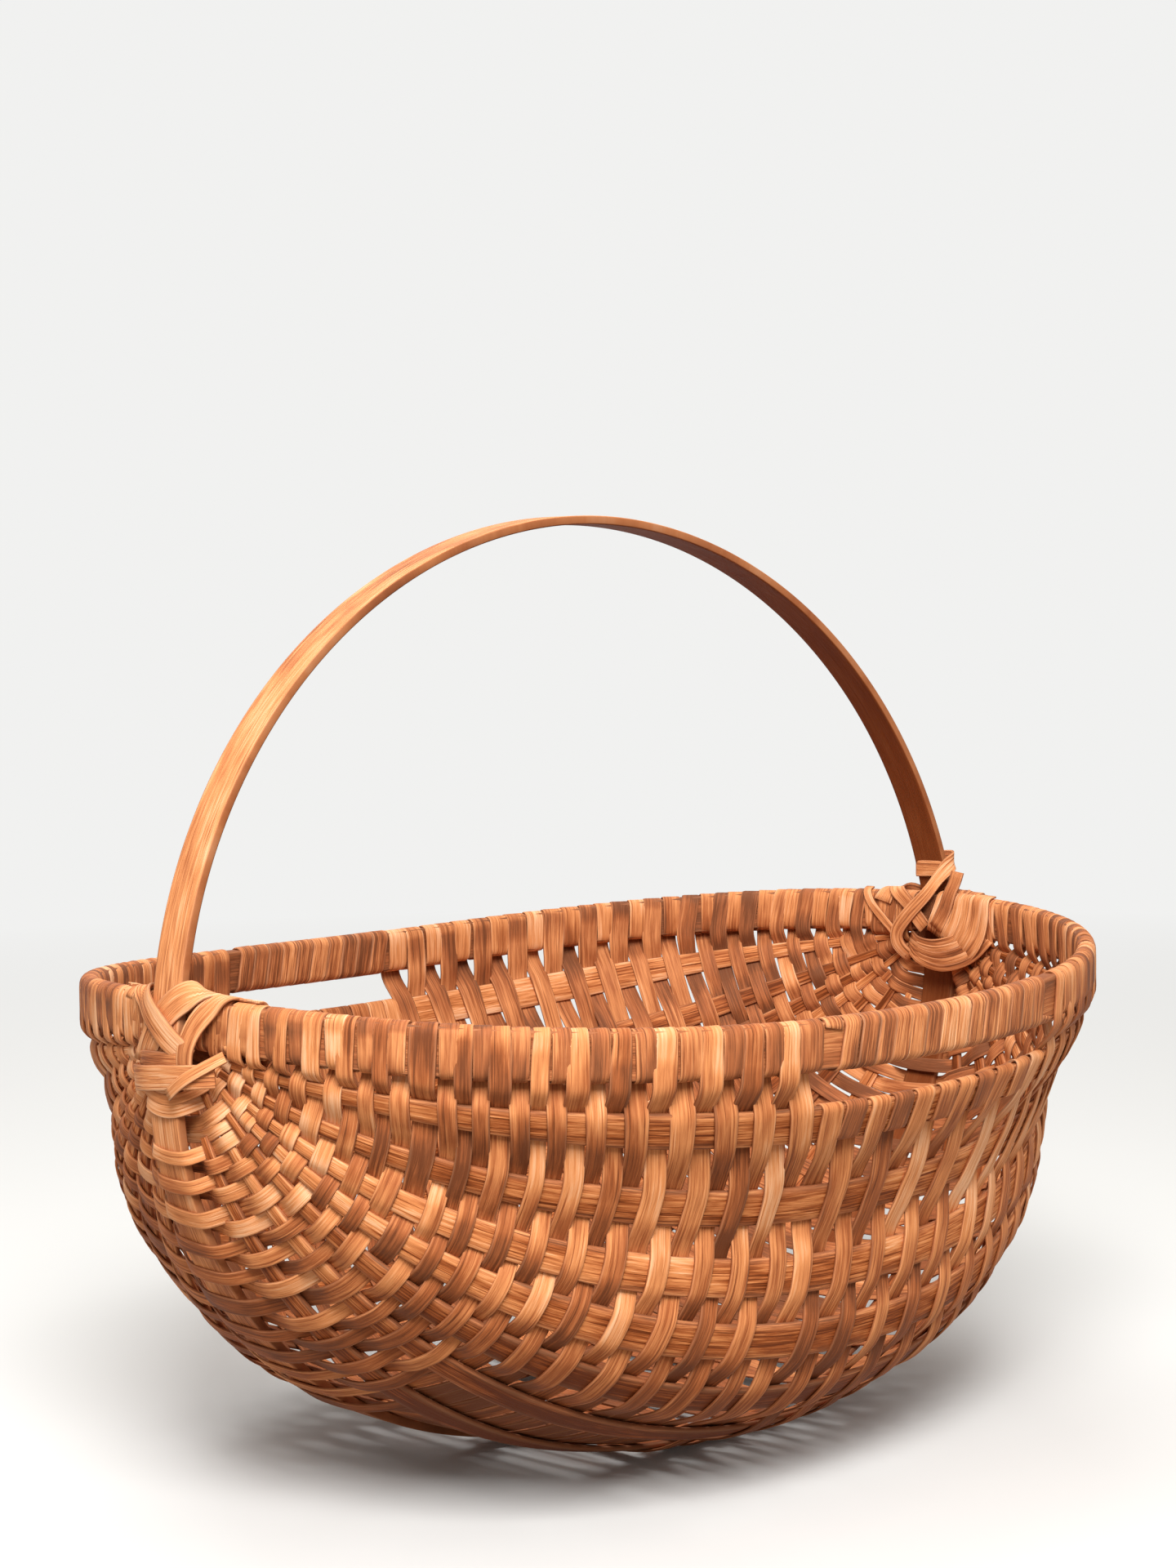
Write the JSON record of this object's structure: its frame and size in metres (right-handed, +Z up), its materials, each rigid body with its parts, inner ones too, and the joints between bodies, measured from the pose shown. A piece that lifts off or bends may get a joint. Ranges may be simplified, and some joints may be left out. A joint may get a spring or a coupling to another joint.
{
  "type": "rib basket",
  "caption": "Oval split-wood rib basket with a full rounded belly, a fixed bent handle hoop, a wrapped rim and a hand hold in the middle of each long side.",
  "frame": {"origin": "on the standing surface, under the middle of the rim, which is the middle of the bottom of the bounding box", "axes": "+X from the left ear to the right ear, +Y from the near long side to the far one, +Z up along the handle"},
  "size_m": [0.4142, 0.3048, 0.3357],
  "materials": {
    "hoop": "matt, worn, oiled with age",
    "rim": "matt, worn, oiled with age",
    "rib": "matt, worn, oiled with age",
    "weave": "matt, worn, oiled with age",
    "wrap": "matt, worn, oiled with age"
  },
  "bodies": {
    "root": {"handle_hoop": "hoop", "spine_hoop": "hoop", "rim_hoop": "rim", "near_rib_1": "rib", "far_rib_1": "rib", "near_rib_2": "rib", "far_rib_2": "rib", "near_rib_3": "rib", "far_rib_3": "rib", "near_rib_4": "rib", "far_rib_4": "rib", "near_rib_5": "rib", "far_rib_5": "rib", "near_rib_6": "rib", "far_rib_6": "rib", "near_rib_7": "rib", "far_rib_7": "rib", "left_weave_1": "weave", "left_weave_2": "weave", "left_weave_3": "weave", "left_weave_4": "weave", "middle_weave_1": "weave", "middle_weave_2": "weave", "right_weave_1": "weave", "right_weave_2": "weave", "right_weave_3": "weave", "right_weave_4": "weave", "far_right_rim_wrap": "wrap", "far_left_rim_wrap": "wrap", "near_left_rim_wrap": "wrap", "near_right_rim_wrap": "wrap", "near_hold_winding": "wrap", "far_hold_winding": "wrap", "left_ear_lashing": "wrap", "right_ear_lashing": "wrap", "left_ear_band": "wrap", "right_ear_band": "wrap"}
  },
  "joints": []
}
